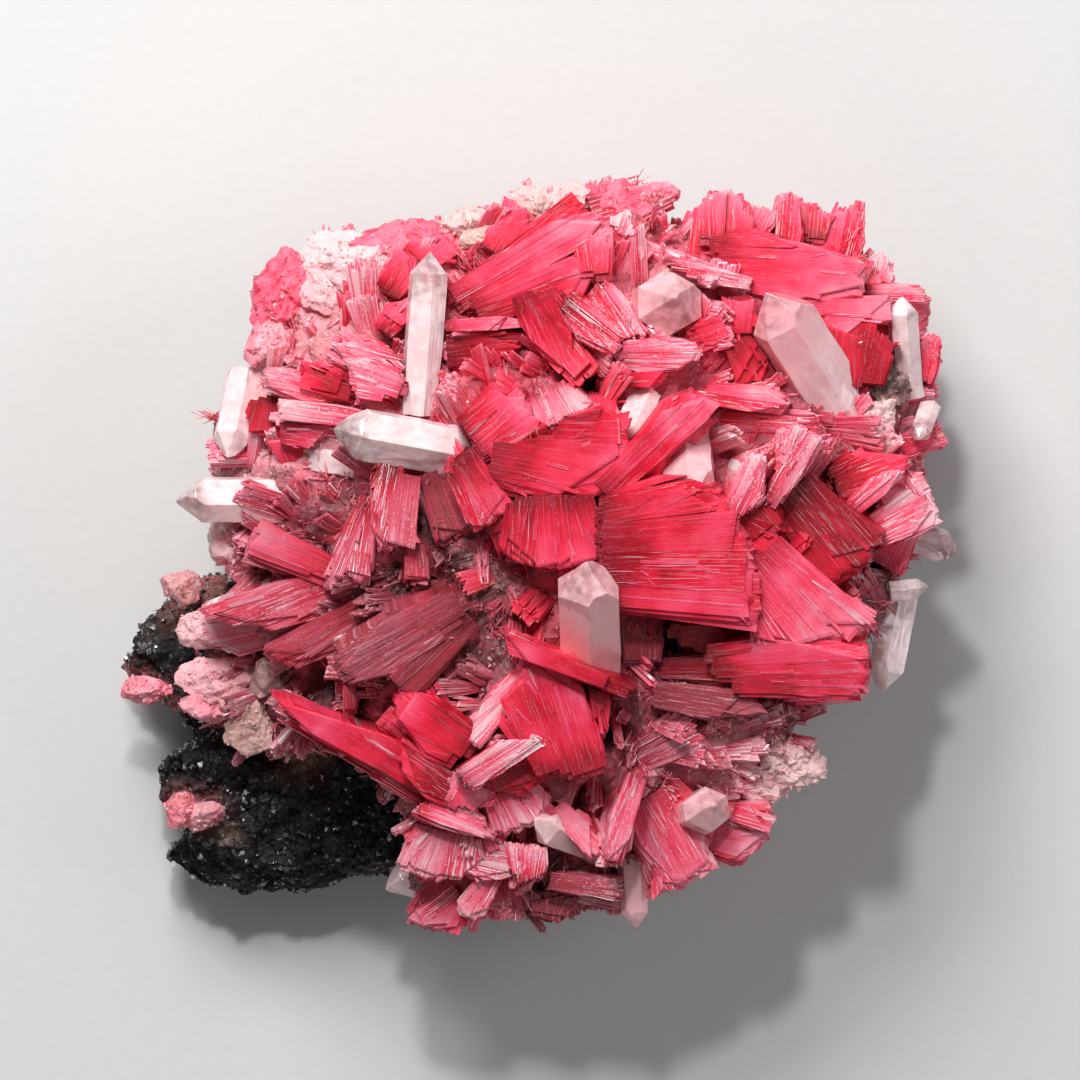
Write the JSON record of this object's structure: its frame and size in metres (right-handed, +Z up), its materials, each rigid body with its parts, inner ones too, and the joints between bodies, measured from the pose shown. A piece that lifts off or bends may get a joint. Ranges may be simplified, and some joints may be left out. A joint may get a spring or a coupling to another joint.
{
  "type": "rhodonite specimen",
  "caption": "Mineral specimen: a domed crust of rose-red bladed rhodonite with clear to milky quartz points, on dark granular rock with a flat cut base, crystals up.",
  "frame": {"origin": "middle of the specimen's bounding box in plan, on the flat cut base that it rests on", "axes": "+Z up, away from the base; +X to the right and +Y to the top as one looks down on the crystals with the bare dark rock at the lower left"},
  "size_m": [0.0842, 0.0758, 0.0419],
  "materials": {
    "dark_rock": "rough, granular, with glints",
    "rhodonite": "glassy blades, striated along their length",
    "quartz": "clear to milky"
  },
  "bodies": {
    "root": {"matrix": "dark_rock", "rhodonite": "rhodonite", "quartz_upright": "quartz", "quartz_lying": "quartz", "quartz_left_point": "quartz", "quartz_left_inner": "quartz", "quartz_centre": "quartz", "quartz_upper_right": "quartz", "quartz_end_on_top": "quartz", "quartz_middle": "quartz", "quartz_right_tooth": "quartz", "quartz_lower_right": "quartz", "quartz_right_small": "quartz", "quartz_bottom_point": "quartz", "quartz_end_on_low": "quartz", "quartz_low_pale": "quartz", "quartz_right_edge": "quartz", "quartz_right_tall": "quartz", "quartz_centre_pale": "quartz", "quartz_left_block": "quartz", "quartz_foot": "quartz"}
  },
  "joints": []
}
